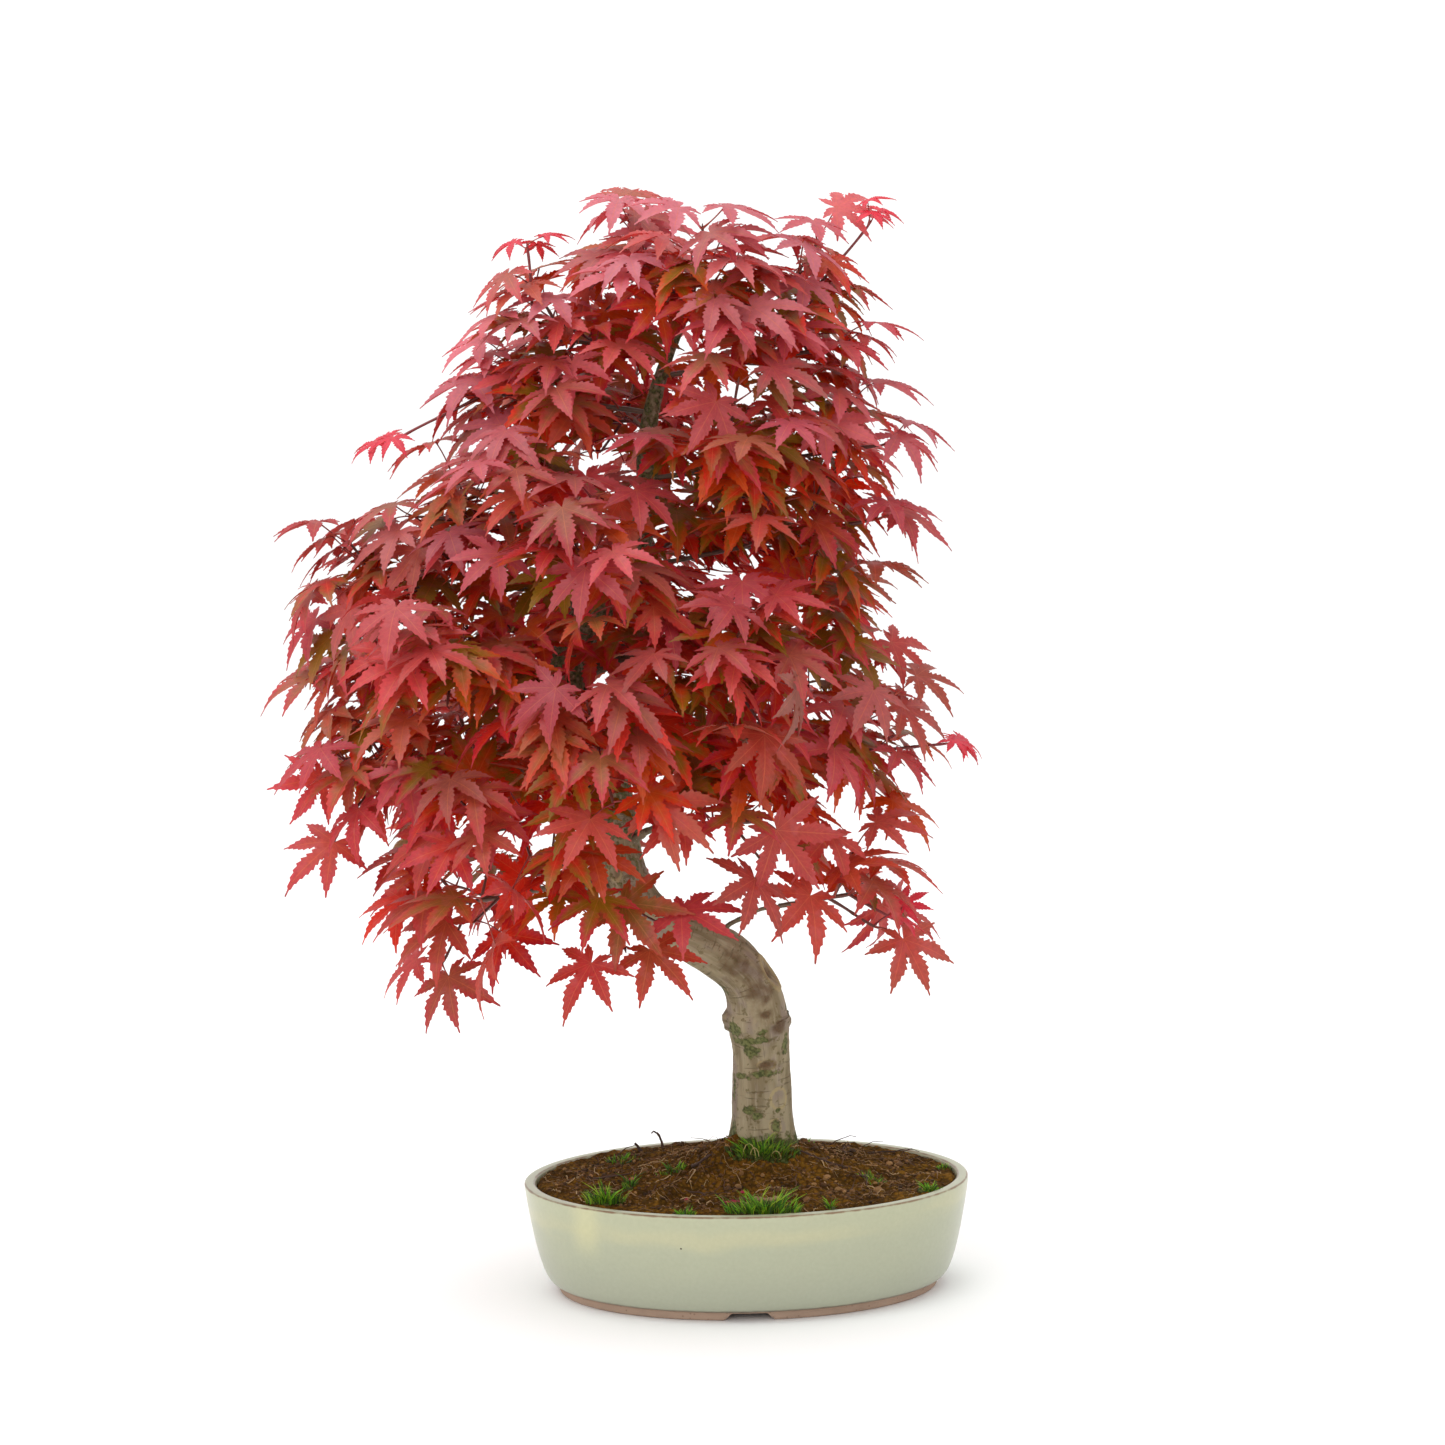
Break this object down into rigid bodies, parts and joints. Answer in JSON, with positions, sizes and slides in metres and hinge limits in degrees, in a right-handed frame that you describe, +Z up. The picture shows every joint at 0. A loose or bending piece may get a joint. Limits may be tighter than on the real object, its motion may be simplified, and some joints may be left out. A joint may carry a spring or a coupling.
{
  "type": "potted bonsai maple",
  "caption": "Japanese maple bonsai with red palmate leaves on a bent trunk, planted in an oval celadon pot with a notched unglazed foot, mounded soil and moss.",
  "frame": {"origin": "under the middle of the whole tree's box, on the plane that the pot's foot stands on", "axes": "+Z up the tree, +X along the pot's long axis to the viewer's right, the tree's front faces -Y"},
  "size_m": [0.4008, 0.3066, 0.6134],
  "materials": {
    "celadon_glaze": "gloss",
    "soil": "matte",
    "screen_plastic": "matte",
    "bright_wire": "satin",
    "bark": "matte",
    "twig_bark": "matte",
    "red_leaf": "satin",
    "moss": "matte"
  },
  "bodies": {
    "root": {"pot": "celadon_glaze", "soil": "soil", "drain_screen_left": "screen_plastic", "drain_screen_right": "screen_plastic", "screen_wire_left": "bright_wire", "screen_wire_right": "bright_wire", "trunk": "bark", "branch_low_right": "twig_bark", "branch_low_front": "twig_bark", "branch_low_left": "twig_bark", "branch_low_back": "twig_bark", "branch_right_front_low": "twig_bark", "branch_left_front_low": "twig_bark", "branch_left_low": "twig_bark", "branch_right_low": "twig_bark", "branch_left_back_low": "twig_bark", "branch_right_back_low": "twig_bark", "branch_front_mid": "twig_bark", "branch_left_mid": "twig_bark", "branch_right_mid": "twig_bark", "branch_right_front_mid": "twig_bark", "branch_left_front_mid": "twig_bark", "branch_back_mid": "twig_bark", "branch_left_high": "twig_bark", "leaves_low_right": "red_leaf", "leaves_low_front": "red_leaf", "leaves_low_left": "red_leaf", "leaves_low_back": "red_leaf", "leaves_right_front_low": "red_leaf", "leaves_left_front_low": "red_leaf", "leaves_left_low": "red_leaf", "leaves_right_low": "red_leaf", "leaves_left_back_low": "red_leaf", "leaves_right_back_low": "red_leaf", "leaves_front_mid": "red_leaf", "leaves_left_mid": "red_leaf", "leaves_right_mid": "red_leaf", "leaves_right_front_mid": "red_leaf", "leaves_left_front_mid": "red_leaf", "leaves_back_mid": "red_leaf", "leaves_left_high": "red_leaf", "leaves_front_high": "red_leaf", "leaves_right_high": "red_leaf", "leaves_back_high": "red_leaf", "leaves_left_upper": "red_leaf", "leaves_front_left_upper": "red_leaf", "leaves_right_upper": "red_leaf", "leaves_front_right_upper": "red_leaf", "leaves_back_upper": "red_leaf", "leaves_left_top": "red_leaf", "leaves_right_top": "red_leaf", "leaves_left_crown": "red_leaf", "leaves_front_crown": "red_leaf", "leaves_right_crown": "red_leaf", "leaves_apex": "red_leaf", "grass_front": "moss", "grass_left": "moss", "moss_trunk": "moss"}
  },
  "joints": []
}
